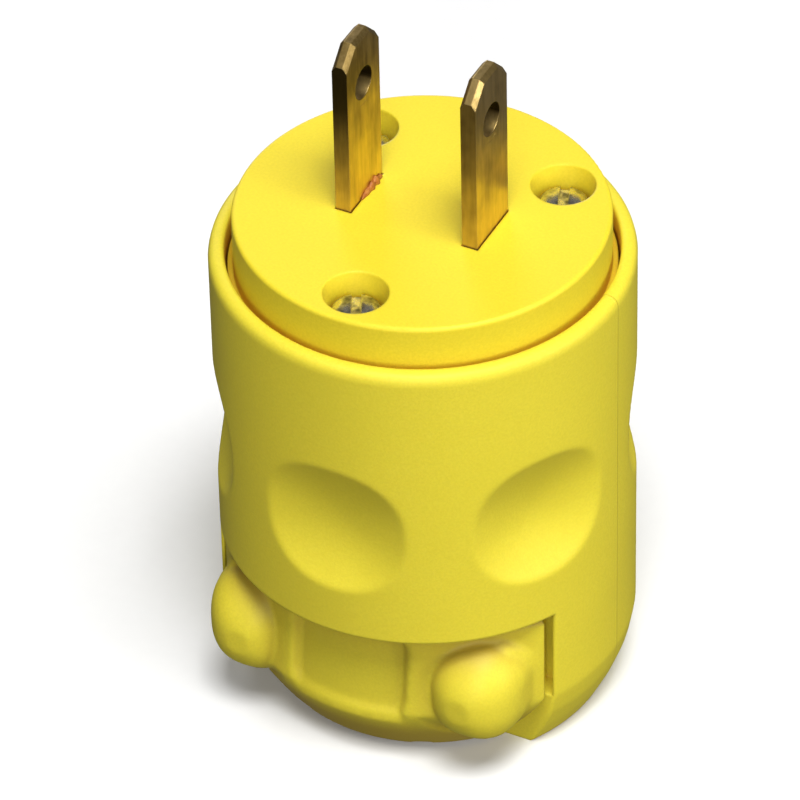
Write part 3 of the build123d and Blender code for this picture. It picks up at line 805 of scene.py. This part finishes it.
class PLUG_OT_blades(bpy.types.Operator):
    """Finish the blades and the bead of vinyl at the foot of the left one."""

    bl_idname = "plug.blades"
    bl_label = "Blades"

    def execute(self, context):
        settings = context.scene.plug_metal
        foot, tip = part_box("face_insert")[1].z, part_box("blade_left")[1].z
        brass = aged_brass("rolled_brass", settings, foot, tip)
        for side, mirror in (("left", -1), ("right", 1)):
            blade = merged_copy(f"blade_{side}_rolled", f"blade_{side}")
            inner, outer = mirror * settings.blade_inner, mirror * settings.blade_outer
            height = foot + settings.hole_height
            start, end = (inner - mirror * MM, 0, height), (outer + mirror * MM, 0, height)
            combine(blade, "UNION", rod("web", 1.4 * settings.hole_radius, (inner, 0, height), (outer, 0, height)))
            combine(blade, "DIFFERENCE", rod("hole", settings.hole_radius, start, end))
            join_part(blade, [f"blade_{side}"], brass, 1)
        self.bead()
        return {"FINISHED"}

    def bead(self):
        """Ragged ridge of burnt vinyl between the left blade and the face."""
        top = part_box("face_insert")[1].z
        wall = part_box("blade_left")[1].x
        first, last, rows, sides = -1.1 * MM, 3.1 * MM, 34, 12
        breadth, rise, sunk = 0.75 * MM, 1.35 * MM, -0.05 * MM
        offset, lift = 0.1 * MM, 0.06 * MM
        work = bmesh.new()
        rings = []
        for row in range(rows):
            along = row / (rows - 1)
            wave = noise.noise(Vector((along * 7, 2.3, 0)))
            swell = math.sin(math.pi * min(1.0, 0.06 + along)) ** 0.5 * (0.7 + 0.6 * wave)
            ring = []
            for side in range(sides):
                turn = math.tau * side / sides
                lump = 1 + 0.45 * noise.noise(Vector((along * 9, math.cos(turn) * 1.5, math.sin(turn) * 1.5)))
                out = swell * lump * (0.3 + 0.5 * along)
                ring.append(work.verts.new((
                    wall + offset + breadth * math.cos(turn) * out,
                    first + (last - first) * along,
                    top + lift + max(sunk, rise * math.sin(turn) * out),
                )))
            rings.append(ring)
        for ring, after in zip(rings, rings[1:]):
            for side in range(sides):
                step = (side + 1) % sides
                work.faces.new((ring[side], ring[step], after[step], after[side]))
        work.faces.new(rings[0])
        work.faces.new(rings[-1])
        bmesh.ops.recalc_face_normals(work, faces=work.faces)
        mesh = bpy.data.meshes.new("slot_bead")
        work.to_mesh(mesh)
        work.free()
        join_part(new_piece("slot_bead", mesh), [], burnt_vinyl("bead_vinyl"), 60)


# Kind, turn of each slot and of the axis about X in degrees, then head radius, head height and shank radius in
# millimetres.
SCREWS = (
    ("face_screw", {"front": 116, "right": 110, "left": 75}, 0, 2.35, 2.0, 1.75),
    ("clamp_screw", {"left": 45, "right": 45}, -90, 3.0, 2.4, 1.75),
    ("terminal_screw", {"left": 0, "right": 0}, 180, 2.97, 2.2, 1.73),
)
# Kind, sides, and turn of the axis about X in degrees.
INSERTS = (
    ("shell_insert", ("front", "right", "left"), 0),
    ("clamp_insert", ("left", "right"), -90),
)


class PLUG_OT_screws(bpy.types.Operator):
    """Make the face, clamp and terminal screws with their threads and slots, and finish the wire clamps."""

    bl_idname = "plug.screws"
    bl_label = "Screws"

    def execute(self, context):
        settings = context.scene.plug_fixings
        steel = plated_steel("screw_plating", context.scene.plug_metal)
        coat(["wire_clamp_left", "wire_clamp_right"], steel)
        tree = machine_screw_tree()
        for kind, turns, tilt, head, height, shank in SCREWS:
            turned_by = Matrix.Rotation(math.radians(tilt), 3, "X")
            lean = turned_by.to_euler()
            up = turned_by @ Vector((0, 0, 1))
            for side, turn in turns.items():
                name = f"{kind}_{side}"
                low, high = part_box(name)
                crown = screw_axis(low, high, lean)
                piece = shaped(tree, f"{name}_threaded", {
                    "Head radius": head * MM, "Head height": height * MM, "Shank radius": shank * MM,
                    "Length": abs(up.dot(high - low)) - height * MM, "Pitch": settings.thread_pitch,
                    "Thread depth": settings.thread_depth, "Slot width": settings.slot_width,
                    "Slot depth": settings.slot_depth, "Turn": math.radians(turn),
                    "Place": crown - up * height * MM, "Lean": lean, "Finish": steel,
                })
                join_part(piece, [name], steel, 38)
        return {"FINISHED"}


class PLUG_OT_inserts(bpy.types.Operator):
    """Make the knurled brass inserts of the shell and the jaw."""

    bl_idname = "plug.inserts"
    bl_label = "Inserts"

    def execute(self, context):
        settings = context.scene.plug_fixings
        brass = aged_brass("turned_brass", context.scene.plug_metal)
        tree = threaded_insert_tree()
        for kind, sides, tilt in INSERTS:
            turned_by = Matrix.Rotation(math.radians(tilt), 3, "X")
            lean = turned_by.to_euler()
            up = turned_by @ Vector((0, 0, 1))
            for side in sides:
                name = f"{kind}_{side}"
                low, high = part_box(name)
                piece = shaped(tree, f"{name}_knurled", {
                    "Radius": (high.x - low.x) / 2, "Bore radius": settings.insert_bore_radius,
                    "Length": abs(up.dot(high - low)), "Pitch": settings.thread_pitch,
                    "Thread depth": settings.insert_thread_depth, "Knurl depth": settings.knurl_depth,
                    "Knurls": float(settings.knurl_count), "Place": screw_axis(low, high, lean), "Lean": lean,
                    "Finish": brass,
                })
                join_part(piece, [name], brass, 38)
        return {"FINISHED"}


# Name, azimuth from the camera's and elevation in degrees, and power in watts.
LAMPS = (
    ("overhead_lamp", 0, 70, 6.8),
    ("back_lamp", 190, 12, 2.4),
    ("side_overhead_lamp", 45, 70, 3.6),
    ("front_lamp", -4, 20, 3.9),
    ("right_lamp", 60, 15, 3.5),
)


def soft_lamp(name, turn, rise, distance, width, power):
    """Square soft lamp that faces the plug."""
    light = bpy.data.lights.new(name, "AREA")
    light.shape = "SQUARE"
    light.size = width
    light.energy = power
    lamp = bpy.data.objects.new(name, light)
    away = Vector((math.sin(turn) * math.cos(rise), -math.cos(turn) * math.cos(rise), math.sin(rise)))
    lamp.location = Vector((0, 0, 30 * MM)) + away * distance
    lamp.rotation_euler = away.to_track_quat("Z", "Y").to_euler()
    bpy.context.scene.collection.objects.link(lamp)


class PLUG_OT_stage(bpy.types.Operator):
    """Set the camera, the table and the light."""

    bl_idname = "plug.stage"
    bl_label = "Stage"

    def execute(self, context):
        settings = context.scene.plug_stage
        scene = context.scene
        azimuth, elevation, roll = settings.azimuth, settings.elevation, settings.roll
        flat = math.cos(elevation)
        back = Vector((math.sin(azimuth) * flat, -math.cos(azimuth) * flat, math.sin(elevation)))
        level = Vector((math.cos(azimuth), math.sin(azimuth), 0))
        upright = back.cross(level)
        right = level * math.cos(roll) + upright * math.sin(roll)
        up = back.cross(right)
        camera = bpy.data.objects.new("camera", bpy.data.cameras.new("camera"))
        camera.data.sensor_width = 36
        camera.data.lens = settings.lens
        camera.data.clip_start = 0.01
        camera.data.clip_end = 20
        turn = Matrix((right, up, back)).transposed().to_4x4()
        camera.matrix_world = Matrix.Translation(Vector(settings.aim) + back * settings.distance) @ turn
        scene.collection.objects.link(camera)
        scene.camera = camera

        table = bpy.data.meshes.new("table")
        half = 1.5
        corners = [(-half, -half, 0), (half, -half, 0), (half, half, 0), (-half, half, 0)]
        table.from_pydata(corners, [], [(0, 1, 2, 3)])
        table.materials.append(pale_table("table_top"))
        top = bpy.data.objects.new("table", table)
        scene.collection.objects.link(top)
        # The table throws no light back on the plug, which keeps the contrast of its shaded side.
        top.visible_diffuse = False
        top.visible_glossy = False

        for name, turn, rise, power in LAMPS:
            turn, rise = azimuth + math.radians(turn), math.radians(rise)
            soft_lamp(name, turn, rise, settings.lamp_distance, settings.lamp_width, power)
        world = bpy.data.worlds.new("studio")
        world.use_nodes = True
        world.node_tree.nodes["Background"].inputs["Color"].default_value = (1.0, 1.0, 1.0, 1.0)
        world.node_tree.nodes["Background"].inputs["Strength"].default_value = settings.surround
        scene.world = world
        scene.view_settings.view_transform = "Standard"
        scene.view_settings.look = "None"
        return {"FINISHED"}


class PLUG_PT_panel(bpy.types.Panel):
    """Plug sizes, colours and steps."""

    bl_label = "Plug"
    bl_idname = "PLUG_PT_panel"
    bl_space_type = "VIEW_3D"
    bl_region_type = "UI"
    bl_category = "Plug"

    def draw(self, context):
        for name in GROUPS:
            group = getattr(context.scene, name)
            box = self.layout.box()
            box.label(text=name)
            for size in group.bl_rna.properties.keys():
                if size not in ("rna_type", "name"):
                    box.prop(group, size)
        for step in STEPS:
            self.layout.operator(step.bl_idname)


STEPS = (
    PLUG_OT_stage, PLUG_OT_vinyl_parts, PLUG_OT_shell, PLUG_OT_clamp_jaw, PLUG_OT_blades, PLUG_OT_screws,
    PLUG_OT_inserts,
)
GROUPS = {
    "plug_vinyl": VinylSettings,
    "plug_metal": MetalSettings,
    "plug_shell": ShellSettings,
    "plug_jaw": JawSettings,
    "plug_fixings": FixingSettings,
    "plug_stage": StageSettings,
}


def register():
    for made in (*GROUPS.values(), *STEPS, PLUG_PT_panel):
        bpy.utils.register_class(made)
    for name, group in GROUPS.items():
        setattr(bpy.types.Scene, name, PointerProperty(type=group))


def unregister():
    for name in GROUPS:
        delattr(bpy.types.Scene, name)
    for made in reversed((*GROUPS.values(), *STEPS, PLUG_PT_panel)):
        bpy.utils.unregister_class(made)


def main():
    register()
    bpy.ops.plug.stage()
    bpy.ops.plug.vinyl_parts()
    bpy.ops.plug.shell()
    bpy.ops.plug.clamp_jaw()
    bpy.ops.plug.blades()
    bpy.ops.plug.screws()
    bpy.ops.plug.inserts()


if __name__ == "__main__":
    main()
